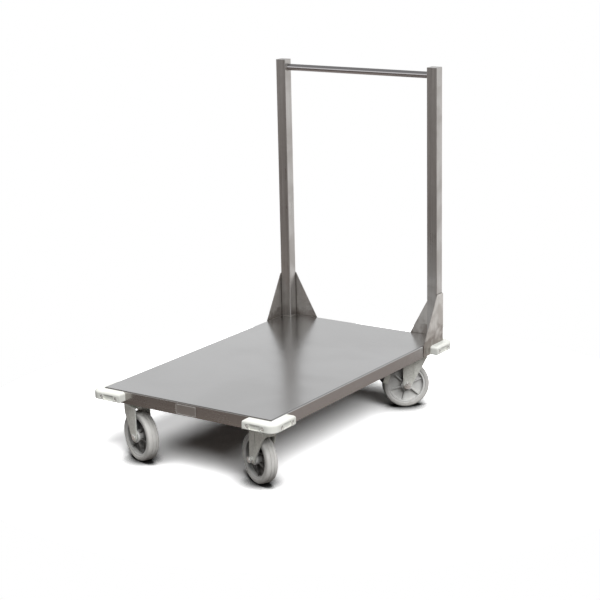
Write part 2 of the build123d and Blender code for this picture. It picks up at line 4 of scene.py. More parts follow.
import bpy
import numpy as np
from mathutils import Matrix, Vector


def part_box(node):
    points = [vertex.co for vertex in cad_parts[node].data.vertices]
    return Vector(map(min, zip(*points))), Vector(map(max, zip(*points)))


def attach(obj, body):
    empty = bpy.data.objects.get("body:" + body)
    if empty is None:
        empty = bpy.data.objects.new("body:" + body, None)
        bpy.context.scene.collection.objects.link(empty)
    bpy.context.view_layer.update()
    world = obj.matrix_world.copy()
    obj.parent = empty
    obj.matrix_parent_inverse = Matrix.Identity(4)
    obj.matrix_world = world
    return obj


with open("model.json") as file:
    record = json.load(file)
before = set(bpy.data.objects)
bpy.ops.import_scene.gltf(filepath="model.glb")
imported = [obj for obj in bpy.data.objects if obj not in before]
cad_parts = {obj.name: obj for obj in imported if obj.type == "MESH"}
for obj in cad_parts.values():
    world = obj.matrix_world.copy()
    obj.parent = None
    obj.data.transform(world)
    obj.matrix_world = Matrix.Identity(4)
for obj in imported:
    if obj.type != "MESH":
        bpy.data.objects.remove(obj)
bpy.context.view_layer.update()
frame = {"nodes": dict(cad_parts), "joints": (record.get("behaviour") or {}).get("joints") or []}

nodes = frame["nodes"]

# The camera, fitted to the photograph's view

cameraView = {
    "place": (2.2999, -3.2828, 1.3978),  # metres, in the cart's frame
    "azimuth": 34.25,  # degrees from the front towards the right side
    "elevation": 14.72,
    "roll": -1.24,
    "lens": 97.92,  # millimetres
    "sensor": 36.0,
}


def cameraAxes(azimuth, elevation, roll):
    # Back points from the cart to the camera. Right lies level, up is their cross product,
    # and both then turn about back by the roll.
    a, e, r = np.radians([azimuth, elevation, roll])
    back = np.array([np.sin(a) * np.cos(e), -np.cos(a) * np.cos(e), np.sin(e)])
    level = np.array([np.cos(a), np.sin(a), 0.0])
    upright = np.cross(back, level)
    right = level * np.cos(r) + upright * np.sin(r)
    up = upright * np.cos(r) - level * np.sin(r)
    return right, up, back


def makeCamera(view):
    right, up, back = cameraAxes(view["azimuth"], view["elevation"], view["roll"])
    data = bpy.data.cameras.new("photoCamera")
    data.lens = view["lens"]
    data.sensor_width = view["sensor"]
    camera = bpy.data.objects.new("photoCamera", data)
    bpy.context.scene.collection.objects.link(camera)
    turn = np.eye(4)
    turn[:3, 0], turn[:3, 1], turn[:3, 2], turn[:3, 3] = right, up, back, view["place"]
    camera.matrix_world = Matrix(turn.tolist())
    bpy.context.scene.camera = camera


makeCamera(cameraView)
bpy.context.scene.view_settings.view_transform = "Standard"
print("camera: placed")

# Helpers that make shader nodes


def addNode(tree, kind, values=None, **settings):
    node = tree.nodes.new(kind)
    for name, value in settings.items():
        setattr(node, name, value)
    for name, value in (values or {}).items():
        if isinstance(value, bpy.types.NodeSocket):
            tree.links.new(value, node.inputs[name])
        else:
            node.inputs[name].default_value = value
    return node


def mathNode(tree, operation, first, second=0.0, clamp=False):
    node = addNode(tree, "ShaderNodeMath", {0: first, 1: second}, operation=operation, use_clamp=clamp)
    return node.outputs[0]


def vectorNode(tree, operation, values, output=0):
    return addNode(tree, "ShaderNodeVectorMath", values, operation=operation).outputs[output]


def noiseNode(tree, place, scale, detail, distortion=0.0):
    values = {"Vector": place, "Scale": scale, "Detail": detail, "Distortion": distortion}
    return addNode(tree, "ShaderNodeTexNoise", values).outputs["Fac"]


def heightNode(tree, place):
    return addNode(tree, "ShaderNodeSeparateXYZ", {0: place}).outputs["Z"]


def rangeNode(tree, value, fromMin, fromMax, toMin, toMax, smooth=False):
    kind = "SMOOTHSTEP" if smooth else "LINEAR"
    values = {"Value": value, "From Min": fromMin, "From Max": fromMax, "To Min": toMin, "To Max": toMax}
    return addNode(tree, "ShaderNodeMapRange", values, interpolation_type=kind).outputs["Result"]


def mixColour(tree, factor, first, second):
    # The sockets of a colour mix: 0 is its factor, 6 and 7 are its colours.
    node = tree.nodes.new("ShaderNodeMix")
    node.data_type = "RGBA"
    for socket, value in ((node.inputs[0], factor), (node.inputs[6], first), (node.inputs[7], second)):
        if isinstance(value, bpy.types.NodeSocket):
            tree.links.new(value, socket)
        else:
            socket.default_value = value
    return node.outputs[2]


def startGroup(name, inputs, outputs):
    group = bpy.data.node_groups.new(name, "ShaderNodeTree")
    for label, kind, value in inputs:
        socket = group.interface.new_socket(name=label, in_out="INPUT", socket_type=kind)
        socket.default_value = value
    for label in outputs:
        group.interface.new_socket(name=label, in_out="OUTPUT", socket_type="NodeSocketFloat")
    return group, group.nodes.new("NodeGroupInput").outputs, group.nodes.new("NodeGroupOutput").inputs


def useGroup(tree, group, values):
    return addNode(tree, "ShaderNodeGroup", values, node_tree=group).outputs


# Effects that several materials share


def makeBrushLines():
    # Position times a stretch that is small along the brushing and large across it, read by
    # one fine and one broad noise. Smears are a third noise, wide and soft.
    fineShare, broadShare, broadScale = 0.6, 0.4, 0.17
    smearFrom, smearTo = 0.38, 0.66
    group, given, result = startGroup(
        "brushLines",
        [("Vector", "NodeSocketVector", (0, 0, 0)), ("Stretch", "NodeSocketVector", (10, 500, 500)),
         ("Smear Scale", "NodeSocketFloat", 6.0)],
        ["Lines", "Smears"],
    )
    stretched = vectorNode(group, "MULTIPLY", {0: given["Vector"], 1: given["Stretch"]})
    fine = noiseNode(group, stretched, 1.0, detail=3.0)
    broad = noiseNode(group, stretched, broadScale, detail=2.0)
    both = mathNode(group, "ADD", mathNode(group, "MULTIPLY", fine, fineShare),
                    mathNode(group, "MULTIPLY", broad, broadShare))
    group.links.new(both, result["Lines"])
    smear = noiseNode(group, given["Vector"], given["Smear Scale"], detail=4.0, distortion=0.6)
    group.links.new(rangeNode(group, smear, smearFrom, smearTo, 0.0, 1.0, True), result["Smears"])
    return group


def makeMouldGrain():
    # Fine pebbles from a distance-to-cell pattern, with broad patches from a soft noise.
    patchFrom, patchTo = 0.35, 0.68
    group, given, result = startGroup(
        "mouldGrain",
        [("Vector", "NodeSocketVector", (0, 0, 0)), ("Grain Scale", "NodeSocketFloat", 900.0),
         ("Patch Scale", "NodeSocketFloat", 14.0)],
        ["Grain", "Patches"],
    )
    cells = addNode(group, "ShaderNodeTexVoronoi",
                    {"Vector": given["Vector"], "Scale": given["Grain Scale"]})
    group.links.new(cells.outputs["Distance"], result["Grain"])
    patch = noiseNode(group, given["Vector"], given["Patch Scale"], detail=5.0)
    group.links.new(rangeNode(group, patch, patchFrom, patchTo, 0.0, 1.0, True), result["Patches"])
    return group


def makeFloorDust():
    # A mask that is 1 at the floor and fades out by the given height, broken up by noise: dust, and painted
    # shade low down near the floor.
    speckScale = 160.0
    group, given, result = startGroup(
        "floorDust",
        [("Vector", "NodeSocketVector", (0, 0, 0)), ("Height", "NodeSocketFloat", 0.05)],
        ["Dust"],
    )
    share = mathNode(group, "DIVIDE", heightNode(group, given["Vector"]), given["Height"])
    fade = mathNode(group, "SUBTRACT", 1.0, share, clamp=True)
    speck = noiseNode(group, given["Vector"], speckScale, detail=5.0)
    group.links.new(mathNode(group, "MULTIPLY", fade, speck, clamp=True), result["Dust"])
    return group


def makeRecessGrime():
    # Painted shade: the mask darkens the wheel's recess, where the fork, tyre and deck shade the web.
    # Distance from the axle, and height along it, both worked out from the axle's centre and
    # direction. The mask is 1 between the hub and the band, near the wheel's middle plane.
    inside, outside = 0.003, 0.001  # metres over which the mask fades, on each side of its edge
    speckScale, speckFrom, speckTo, leastCover = 90.0, 0.3, 0.6, 0.75
    group, given, result = startGroup(
        "recessGrime",
        [("Vector", "NodeSocketVector", (0, 0, 0)), ("Centre", "NodeSocketVector", (0, 0, 0)),
         ("Axle", "NodeSocketVector", (1, 0, 0)), ("Hub Radius", "NodeSocketFloat", 0.02),
         ("Band Radius", "NodeSocketFloat", 0.04), ("Depth", "NodeSocketFloat", 0.01)],
        ["Grime"],
    )
    offset = vectorNode(group, "SUBTRACT", {0: given["Vector"], 1: given["Centre"]})
    along = vectorNode(group, "DOT_PRODUCT", {0: offset, 1: given["Axle"]}, "Value")
    away = vectorNode(group, "CROSS_PRODUCT", {0: offset, 1: given["Axle"]})
    distance = vectorNode(group, "LENGTH", {0: away}, "Value")
    pastHub = mathNode(group, "SUBTRACT", distance, given["Hub Radius"])
    pastBand = mathNode(group, "SUBTRACT", distance, given["Band Radius"])
    pastDepth = mathNode(group, "SUBTRACT", mathNode(group, "ABSOLUTE", along), given["Depth"])
    beyondHub = rangeNode(group, pastHub, -outside, inside, 0.0, 1.0, True)
    withinBand = rangeNode(group, pastBand, -inside, outside, 1.0, 0.0, True)
    withinDepth = rangeNode(group, pastDepth, -inside, outside, 1.0, 0.0, True)
    speck = noiseNode(group, given["Vector"], speckScale, detail=5.0)
    cover = rangeNode(group, speck, speckFrom, speckTo, leastCover, 1.0)
    ring = mathNode(group, "MULTIPLY", beyondHub, withinBand)
    group.links.new(mathNode(group, "MULTIPLY", ring, mathNode(group, "MULTIPLY", withinDepth, cover)),
                    result["Grime"])
    return group


def makeWeldTint():
    # Heat from the welds on the deck stained the steel: the mask is strong at the given level,
    # fades out above it, and noise breaks its edge.
    cloudScale, cloudFrom, cloudTo, cloudLow, cloudHigh = 34.0, 0.3, 0.7, -0.45, 0.65
    fadeFrom, fadeTo = 0.1, 1.0
    group, given, result = startGroup(
        "weldTint",
        [("Vector", "NodeSocketVector", (0, 0, 0)), ("Level", "NodeSocketFloat", 0.185),
         ("Reach", "NodeSocketFloat", 0.05)],
        ["Tint"],
    )
    height = mathNode(group, "SUBTRACT", heightNode(group, given["Vector"]), given["Level"])
    share = mathNode(group, "ABSOLUTE", mathNode(group, "DIVIDE", height, given["Reach"]))
    cloud = noiseNode(group, given["Vector"], cloudScale, detail=4.0, distortion=0.5)
    edge = rangeNode(group, cloud, cloudFrom, cloudTo, cloudLow, cloudHigh)
    level = mathNode(group, "ADD", share, edge)
    group.links.new(rangeNode(group, level, fadeFrom, fadeTo, 1.0, 0.0, True), result["Tint"])
    return group


brushLines = makeBrushLines()
mouldGrain = makeMouldGrain()
floorDust = makeFloorDust()
recessGrime = makeRecessGrime()
weldTint = makeWeldTint()
print("effects: 5 node groups")

# Materials


def startMaterial(name, colour, **sockets):
    material = bpy.data.materials.new(name)
    material.use_nodes = True
    material.diffuse_color = (*colour, 1.0)
    tree = material.node_tree
    shader = tree.nodes["Principled BSDF"]
    shader.inputs["Base Color"].default_value = (*colour, 1.0)
    for label, value in sockets.items():
        shader.inputs[label].default_value = value
    place = tree.nodes.new("ShaderNodeTexCoord").outputs["Object"]
    return material, tree, shader, place


def shade(colour, factor):
    return (colour[0] * factor, colour[1] * factor, colour[2] * factor, 1.0)


def bumpNode(tree, strength, depth, height):
    values = {"Strength": strength, "Distance": depth, "Height": height}
    return addNode(tree, "ShaderNodeBump", values).outputs[0]


def layer(tree, mask, share, under, colour):
    return mixColour(tree, mathNode(tree, "MULTIPLY", mask, share), under, (*colour, 1.0))


def brushedMetal(name, look):
    # Colour and roughness both follow the brush lines, and smears lift the roughness a little.
    lineFrom, lineTo, lineDepth, downward = 0.3, 0.7, 0.0004, -0.5
    material, tree, shader, place = startMaterial(name, look["colour"], Metallic=1.0)
    effect = useGroup(tree, brushLines, {"Vector": place, "Stretch": look["stretch"],
                                         "Smear Scale": look["smearScale"]})
    low, high = look["colourRange"]
    lines = rangeNode(tree, effect["Lines"], lineFrom, lineTo, 0.0, 1.0)
    colour = mixColour(tree, lines, shade(look["colour"], low), shade(look["colour"], high))
    colour = layer(tree, effect["Smears"], look["stain"], colour, look["stainColour"])
    if "tint" in look:
        heat = useGroup(tree, weldTint, {"Vector": place, "Level": look["tintLevel"],
                                         "Reach": look["tintReach"]})
        colour = layer(tree, heat["Tint"], look["tint"], colour, look["tintColour"])
    # Faces that point down take a dark colour: painted shade.
    if "downwardShadeColour" in look:
        facing = heightNode(tree, tree.nodes.new("ShaderNodeTexCoord").outputs["Normal"])
        below = mathNode(tree, "LESS_THAN", facing, downward)
        colour = mixColour(tree, below, colour, (*look["downwardShadeColour"], 1.0))
    tree.links.new(colour, shader.inputs["Base Color"])
    rough = rangeNode(tree, effect["Lines"], lineFrom, lineTo, look["rough"][0], look["rough"][1])
    rough = mathNode(tree, "ADD", rough, mathNode(tree, "MULTIPLY", effect["Smears"], look["smearRough"]))
    tree.links.new(rough, shader.inputs["Roughness"])
    tree.links.new(bumpNode(tree, look["bump"], lineDepth, effect["Lines"]), shader.inputs["Normal"])
    return material


def mouldedPlastic(name, look):
    # Patches mix two colours and two roughnesses, and the grain is a fine bump.
    grainDepth = 0.0002
    material, tree, shader, place = startMaterial(name, look["colour"])
    effect = useGroup(tree, mouldGrain, {"Vector": place, "Grain Scale": look["grainScale"],
                                         "Patch Scale": look["patchScale"]})
    colour = mixColour(tree, effect["Patches"], (*look["colour"], 1.0), (*look["patchColour"], 1.0))
    # dust and painted shade near the floor
    if "dustAndShade" in look:
        dustAndShade = useGroup(tree, floorDust, {"Vector": place, "Height": look["dustAndShadeHeight"]})
        colour = layer(tree, dustAndShade["Dust"], look["dustAndShade"], colour, look["dustAndShadeColour"])
    # painted shade in the wheel's recess
    if "recessShade" in look:
        recessShade = useGroup(tree, recessGrime, {
            "Vector": place, "Centre": look["centre"], "Axle": look["axle"],
            "Hub Radius": look["hubRadius"], "Band Radius": look["bandRadius"], "Depth": look["depth"],
        })
        colour = layer(tree, recessShade["Grime"], look["recessShade"], colour, look["recessShadeColour"])
    tree.links.new(colour, shader.inputs["Base Color"])
    rough = rangeNode(tree, effect["Patches"], 0.0, 1.0, look["rough"][0], look["rough"][1])
    tree.links.new(rough, shader.inputs["Roughness"])
    tree.links.new(bumpNode(tree, look["bump"], grainDepth, effect["Grain"]), shader.inputs["Normal"])
    return material


def zincMetal(name, look):
    # Zinc crystals are cells, each a little lighter or darker than the next, under a soft cloud.
    crystalShare, cloudShare = 0.35, 0.65
    maskFrom, maskTo, darkest, lightest = 0.25, 0.75, 0.86, 1.08
    dustAndShadeHeight, dustShare = 0.12, 0.35
    bump, bumpDepth = 0.12, 0.0003
    material, tree, shader, place = startMaterial(name, look["colour"], Metallic=look["metallic"])
    cells = addNode(tree, "ShaderNodeTexVoronoi", {"Vector": place, "Scale": look["crystalScale"]})
    tone = addNode(tree, "ShaderNodeSeparateColor", {0: cells.outputs["Color"]}).outputs[0]
    cloud = noiseNode(tree, place, look["cloudScale"], detail=5.0)
    both = mathNode(tree, "ADD", mathNode(tree, "MULTIPLY", tone, crystalShare),
                    mathNode(tree, "MULTIPLY", cloud, cloudShare))
    mask = rangeNode(tree, both, maskFrom, maskTo, 0.0, 1.0)
    colour = mixColour(tree, mask, shade(look["colour"], darkest), shade(look["colour"], lightest))
    dustAndShade = useGroup(tree, floorDust, {"Vector": place, "Height": dustAndShadeHeight})
    colour = layer(tree, dustAndShade["Dust"], dustShare, colour, look["dirtColour"])
    tree.links.new(colour, shader.inputs["Base Color"])
    rough = rangeNode(tree, mask, 0.0, 1.0, look["rough"][0], look["rough"][1])
    tree.links.new(rough, shader.inputs["Roughness"])
    tree.links.new(bumpNode(tree, bump, bumpDepth, cloud), shader.inputs["Normal"])
    return material


finishes = {
    "deckSteel": {"colour": (0.55, 0.55, 0.553), "stretch": (14, 1100, 1100), "smearScale": 4.5,
                  "colourRange": (0.96, 1.04), "stain": 0.12, "stainColour": (0.53, 0.53, 0.52),
                  "rough": (0.18, 0.24), "smearRough": 0.04, "bump": 0.005,
                  "downwardShadeColour": (0.16, 0.155, 0.15)},  # painted shade on the faces that point down, the side that nobody polished
    "skirtSteelPaintedShade": {"colour": (0.41, 0.392, 0.376), "stretch": (14, 700, 700), "smearScale": 9.0,
                   "colourRange": (0.92, 1.06), "stain": 0.30, "stainColour": (0.33, 0.31, 0.29),
                   "rough": (0.20, 0.28), "smearRough": 0.06, "bump": 0.02,
                   "downwardShadeColour": (0.16, 0.155, 0.15)},  # the end skirts, less polished than the deck, and darker and browner as painted shade and painted reflection; their downward faces carry painted shade too
    "underSteel": {"colour": (0.20, 0.195, 0.19), "stretch": (30, 200, 200), "smearScale": 18.0,
                   "colourRange": (0.85, 1.1), "stain": 0.4, "stainColour": (0.15, 0.14, 0.13),
                   "rough": (0.42, 0.52), "smearRough": 0.10, "bump": 0.08},
    "postSteel": {"colour": (0.54, 0.525, 0.51), "stretch": (420, 420, 6), "smearScale": 16.0,
                  "colourRange": (0.80, 1.12), "stain": 0.45, "stainColour": (0.36, 0.335, 0.315),
                  "rough": (0.24, 0.36), "smearRough": 0.10, "bump": 0.08},
    "gussetSteel": {"colour": (0.68, 0.66, 0.635), "stretch": (420, 420, 6), "smearScale": 26.0,
                    "colourRange": (0.82, 1.10), "stain": 0.50, "stainColour": (0.44, 0.41, 0.38),
                    "rough": (0.30, 0.42), "smearRough": 0.10, "bump": 0.10,
                    "tint": 0.75, "tintColour": (0.24, 0.205, 0.185),
                    "tintLevel": 0.187, "tintReach": 0.038},
    "rodSteel": {"colour": (0.58, 0.565, 0.575), "stretch": (12, 500, 500), "smearScale": 12.0,
                 "colourRange": (0.94, 1.05), "stain": 0.1, "stainColour": (0.50, 0.48, 0.47),
                 "rough": (0.07, 0.12), "smearRough": 0.05, "bump": 0.02},
    "labelSteel": {"colour": (0.46, 0.445, 0.43), "stretch": (14, 900, 900), "smearScale": 30.0,
                   "colourRange": (0.94, 1.06), "stain": 0.1, "stainColour": (0.40, 0.385, 0.37),
                   "rough": (0.30, 0.38), "smearRough": 0.05, "bump": 0.06},
    "seamSteel": {"colour": (0.15, 0.135, 0.125), "stretch": (300, 300, 300), "smearScale": 60.0,
                  "colourRange": (0.7, 1.3), "stain": 0.4, "stainColour": (0.28, 0.25, 0.22),
                  "rough": (0.36, 0.50), "smearRough": 0.1, "bump": 0.1},
    "weldSteel": {"colour": (0.60, 0.585, 0.56), "stretch": (300, 300, 300), "smearScale": 60.0,
                  "colourRange": (0.85, 1.1), "stain": 0.4, "stainColour": (0.40, 0.34, 0.27),
                  "rough": (0.26, 0.36), "smearRough": 0.1, "bump": 0.1},
}
metals = {name: brushedMetal(name, look) for name, look in finishes.items()}

plasticFinishes = {
    "bumperPlastic": {"colour": (0.78, 0.79, 0.745), "patchColour": (0.73, 0.735, 0.685),
                      "grainScale": 1100.0, "patchScale": 22.0, "rough": (0.42, 0.52), "bump": 0.10},
    "rimPlastic": {"colour": (0.66, 0.66, 0.65), "patchColour": (0.60, 0.60, 0.585),
                   "grainScale": 1400.0, "patchScale": 40.0, "rough": (0.36, 0.48), "bump": 0.06,
                   "dustAndShade": 0.25, "dustAndShadeHeight": 0.11, "dustAndShadeColour": (0.42, 0.40, 0.37)},
    # the tyre's dark band at the floor is dust and painted contact shade
    "tyreRubber": {"colour": (0.60, 0.592, 0.572), "patchColour": (0.54, 0.532, 0.513),
                   "grainScale": 1600.0, "patchScale": 60.0, "rough": (0.50, 0.62), "bump": 0.12,
                   "dustAndShade": 0.7, "dustAndShadeHeight": 0.030, "dustAndShadeColour": (0.22, 0.205, 0.18)},
    "padRubber": {"colour": (0.035, 0.035, 0.037), "patchColour": (0.05, 0.05, 0.05),
                  "grainScale": 1200.0, "patchScale": 60.0, "rough": (0.55, 0.7), "bump": 0.2},
}
plastics = {name: mouldedPlastic(name, look) for name, look in plasticFinishes.items()
            if name != "rimPlastic"}

zincFinishes = {
    "zincPlate": {"colour": (0.83, 0.85, 0.80), "metallic": 0.32, "crystalScale": 260.0, "cloudScale": 50.0,
                  "rough": (0.36, 0.48), "dirtColour": (0.30, 0.28, 0.24)},
    "boltZinc": {"colour": (0.88, 0.88, 0.86), "metallic": 0.75, "crystalScale": 500.0, "cloudScale": 120.0,
                 "rough": (0.20, 0.30), "dirtColour": (0.40, 0.38, 0.34)},
}
zincs = {name: zincMetal(name, look) for name, look in zincFinishes.items()}
materials = {**metals, **plastics, **zincs}

casters = ["front_left", "front_right", "rear_left", "rear_right"]
brakedCasters = ["rear_left", "rear_right"]
jointOf = {joint["child"]: joint for joint in frame["joints"]}  # by the body that it moves
recess = {
    "hubRadius": 0.0140,  # metres
    "bandRadius": 0.0460,
    "depth": 0.0135,  # half the depth that the painted shade fills
    "recessShadeColour": (0.022, 0.020, 0.018),
}
# Painted shade: the front rims' recesses lie in shade and are darkened, the rear ones little or not at all.
recessShadeShares = {"front_left": 0.95, "front_right": 0.97, "rear_left": 0.25, "rear_right": 0.0}
for name in casters:
    spin = jointOf[name + "_wheel"]
    look = {**plasticFinishes["rimPlastic"], **recess, "recessShade": recessShadeShares[name],
            "centre": spin["pos_m"], "axle": spin["axis"]}
    materials[name + "Rim"] = mouldedPlastic(name + "Rim", look)


def dress(names, material):
    for name in names:
        piece = nodes[name]
        piece.data.materials.clear()
        piece.data.materials.append(materials[material])


dress(["deck_pan"], "deckSteel")
dress(["front_skirt", "rear_skirt"], "skirtSteelPaintedShade")
dress(["front_beam", "rear_beam", "left_stiffener", "right_stiffener"], "underSteel")
dress(["left_post", "right_post", "left_post_cap", "right_post_cap"], "postSteel")
dress(["left_side_gusset", "right_side_gusset", "left_rear_gusset", "right_rear_gusset"], "gussetSteel")
dress(["handle_rod"], "rodSteel")
dress(["label_plate"], "labelSteel")
dress(["bumper_screws", "caster_bolts", "caster_nuts", "kingpins"], "boltZinc")
dress([name + "_bumper" for name in casters], "bumperPlastic")
for name in casters:
    dress([name + "_caster_plate", name + "_fork"], "zincPlate")
    dress([name + "_swivel_balls", name + "_axle", name + "_axle_nut"], "boltZinc")
    dress([name + "_rim"], name + "Rim")
    dress([name + "_tyre"], "tyreRubber")
for name in brakedCasters:
    dress([name + "_brake_pedal"], "zincPlate")
    dress([name + "_pedal_pin"], "boltZinc")
    dress([name + "_pedal_pad"], "padRubber")
print("materials: %d made" % len(materials))

# Helpers that make meshes


def gridFaces(rows, columns, closeRows, closeColumns, first=0):
    # Corners run across, along, back across and back along, so that a face looks outwards
    # when the columns go anticlockwise about the rows' direction.
    i = np.arange(rows if closeRows else rows - 1)
    j = np.arange(columns if closeColumns else columns - 1)
    i, j = np.meshgrid(i, j, indexing="ij")
    nextI, nextJ = (i + 1) % rows, (j + 1) % columns
    quads = np.stack([i * columns + j, i * columns + nextJ,
                      nextI * columns + nextJ, nextI * columns + j], -1)
    return quads.reshape(-1, 4) + first


def buildMesh(name, points, faces, body, material):
    sharp = 80.0  # degrees; the faces of a steeper edge are shaded apart
    mesh = bpy.data.meshes.new(name)
    mesh.from_pydata(points.tolist(), [], [tuple(face) for face in faces])
    mesh.polygons.foreach_set("use_smooth", np.ones(len(mesh.polygons), bool))
    mesh.set_sharp_from_angle(angle=math.radians(sharp))
    mesh.materials.append(materials[material])
    piece = bpy.data.objects.new(name, mesh)
    bpy.context.scene.collection.objects.link(piece)
    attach(piece, body)
    return piece


def sideways(direction):
    # Two unit vectors across a direction, which make a right-handed set with it.
    helper = np.array([0.0, 0.0, 1.0]) if abs(direction[2]) < 0.9 else np.array([1.0, 0.0, 0.0])
    first = np.cross(helper, direction)
    first = first / np.linalg.norm(first)
    return first, np.cross(direction, first)


ripple = {
    "height": 0.11,  # share of the bead's radius
    "pitch": 0.0016,  # metres
    "steps": 4,  # rings of points for each ripple
    "sides": 10,
}


def circleAngles(count):
    return np.linspace(0, 2 * np.pi, count, endpoint=False)


def beadPoints(start, end, radius, pitch):
    # A tube from start to end. Its radius is the bead's, raised a little at the crest of each
    # ripple, and drops to nothing over one radius at each end as a quarter circle does.
    firstTurn, lastTurn, body = 0.15, 1.45, 1.1  # radians of the quarter circle, share of the radius
    start, end = np.array(start, float), np.array(end, float)
    length = np.linalg.norm(end - start)
    direction = (end - start) / length
    first, second = sideways(direction)
    steps = max(int(length / pitch) * ripple["steps"], 8)
    along = np.concatenate([
        radius * (1 - np.cos(np.linspace(firstTurn, lastTurn, 4))),
        np.linspace(radius * body, length - radius * body, steps),
        length - radius * (1 - np.cos(np.linspace(lastTurn, firstTurn, 4))),
    ])
    fromEnd = np.clip(np.minimum(along, length - along) / radius, 0.0, 1.0)
    crest = 1.0 + ripple["height"] * np.cos(2 * np.pi * along / pitch) * (fromEnd > 0.99)
    size = radius * np.sqrt(1 - (1 - fromEnd) ** 2) * crest
    angle = circleAngles(ripple["sides"])[:, None]
    ring = first * np.cos(angle) + second * np.sin(angle)
    return start + along[:, None, None] * direction + size[:, None, None] * ring[None], start, end


def weldBeads(name, seams, body="cart", pitch=ripple["pitch"], material="weldSteel"):
    # One tube for each seam, closed by a fan of triangles about each of its end points.
    allPoints, allFaces, first = [], [], 0
    for start, end, radius in seams:
        tube, tip, tail = beadPoints(start, end, radius, pitch)
        rows, columns = tube.shape[:2]
        allPoints += [tube.reshape(-1, 3), tip[None], tail[None]]
        allFaces += gridFaces(rows, columns, False, True, first).tolist()
        here = np.arange(columns)
        beyond = (here + 1) % columns
        tipIndex = np.full(columns, first + rows * columns)
        lastRow = first + (rows - 1) * columns
        allFaces += np.stack([tipIndex, first + beyond, first + here], -1).tolist()
        allFaces += np.stack([tipIndex + 1, lastRow + here, lastRow + beyond], -1).tolist()
        first += rows * columns + 2
    return buildMesh(name, np.concatenate(allPoints), allFaces, body, material)


def ringBead(name, centre, axis, ringRadius, radius, pitch, body, material):
    # A closed ring of small circles, whose radius rises and falls once for each pitch along it.
    axis = np.array(axis, float)
    first, second = sideways(axis)
    count = int(2 * np.pi * ringRadius / pitch)
    rows = count * ripple["steps"]
    u, v = circleAngles(rows)[:, None], circleAngles(ripple["sides"])[None, :]
    size = radius * (1 + ripple["height"] * np.cos(count * u))
    outward = first * np.cos(u)[..., None] + second * np.sin(u)[..., None]
    points = np.array(centre) + outward * (ringRadius + size * np.cos(v))[..., None] \
        - axis * (size * np.sin(v))[..., None]
    faces = gridFaces(rows, ripple["sides"], True, True)
    return buildMesh(name, points.reshape(-1, 3), faces.tolist(), body, material)


def loopTube(name, path, axis, radius, body, material, sides=8):
    # A closed tube along a flat loop. At each point outward is the cross product of the path's
    # direction and the loop's axis, and the tube's circle lies in outward and the axis.
    axis = np.array(axis, float)
    direction = np.roll(path, -1, axis=0) - np.roll(path, 1, axis=0)
    outward = np.cross(direction, axis)
    outward /= np.linalg.norm(outward, axis=1)[:, None]
    v = circleAngles(sides)[None, :, None]
    points = path[:, None] + radius * (outward[:, None] * np.cos(v) - axis * np.sin(v))
    faces = gridFaces(len(path), sides, True, True)
    return buildMesh(name, points.reshape(-1, 3), faces.tolist(), body, material)


# Welds on the frame

seamSizes = {  # radii, metres
    "corner": 0.0016, "deck": 0.0021, "edge": 0.0012, "shared": 0.0013, "rod": 0.0014,
}
seamPlaces = {
    "endGap": 0.002,  # from the end of a seam to the edge that it runs to
    "sunk": 0.0012,  # the deck's seams lie inside its edge
    "proud": 0.0006,  # the gussets' seams lie outside their faces
    "proudCorner": 0.0007,
    "footGap": 0.001,
    "topGap": 0.003,
}


def frameWelds(sizes, places):
    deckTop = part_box("deck_pan")[1].z
    edgeX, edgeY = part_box("deck_pan")[1].x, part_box("rear_skirt")[1].y
    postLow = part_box("right_post")[0]
    innerX, frontY = postLow.x, postLow.y
    skirtBottom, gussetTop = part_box("right_side_gusset")[0].z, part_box("right_side_gusset")[1].z
    tipY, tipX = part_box("right_side_gusset")[0].y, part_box("right_rear_gusset")[0].x
    gap, sunk, proud, corner = places["endGap"], places["sunk"], places["proud"], places["proudCorner"]
    for side, name in ((-1, "left"), (1, "right")):
        x, inner = side * edgeX, side * innerX
        deckX, deckY, deckZ = x - side * sunk, edgeY - sunk, deckTop - sunk
        faceX, faceY = x + side * proud, edgeY + proud
        cornerX, cornerY = x + side * corner, edgeY + corner
        weldBeads(name + "PostWelds", [
            # the post's foot, front and inner side
            ((inner, frontY, deckTop), (x - side * gap, frontY, deckTop), sizes["corner"]),
            ((inner, frontY, deckTop), (inner, edgeY - gap, deckTop), sizes["corner"]),
            # the gussets along the deck's edges
            ((deckX, tipY + gap, deckZ), (deckX, frontY, deckZ), sizes["deck"]),
            ((side * (tipX + gap), deckY, deckZ), (inner, deckY, deckZ), sizes["deck"]),
            # the gussets' tops, across the post
            ((faceX, frontY + gap, gussetTop), (faceX, edgeY - gap, gussetTop), sizes["edge"]),
            ((inner + side * gap, faceY, gussetTop), (x - side * gap, faceY, gussetTop), sizes["edge"]),
            # the gussets' shared corner
            ((cornerX, cornerY, skirtBottom + places["footGap"]), (cornerX, cornerY, gussetTop - gap),
             sizes["shared"]),
        ])
        top = gussetTop - places["topGap"]
        weldBeads(name + "PostSeams", [
            ((x, frontY, deckTop), (x, frontY, top), sizes["corner"]),  # the post's front corner
            ((inner, edgeY, deckTop), (inner, edgeY, top), sizes["corner"]),  # its inner rear corner
        ], material="seamSteel")
    rodLow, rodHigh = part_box("handle_rod")
    rodY, rodZ = (rodLow.y + rodHigh.y) / 2, (rodLow.z + rodHigh.z) / 2
    for side, name in ((-1, "left"), (1, "right")):
        ringBead(name + "RodWeld", (side * rodHigh.x, rodY, rodZ), (1, 0, 0), (rodHigh.z - rodLow.z) / 2,
                 sizes["rod"], ripple["pitch"], "cart", "weldSteel")


stitches = {
    "radius": 0.0017,  # metres
    "half": 0.012,  # half the length of a run
    "pitch": 0.002,
    "belowTop": 0.0034,  # from the deck's top to the middle of a run
    "stiffenerRuns": 6,
    "stiffenerMargin": 0.05,
    "beamRuns": 5,
    "beamMargin": 0.06,
}


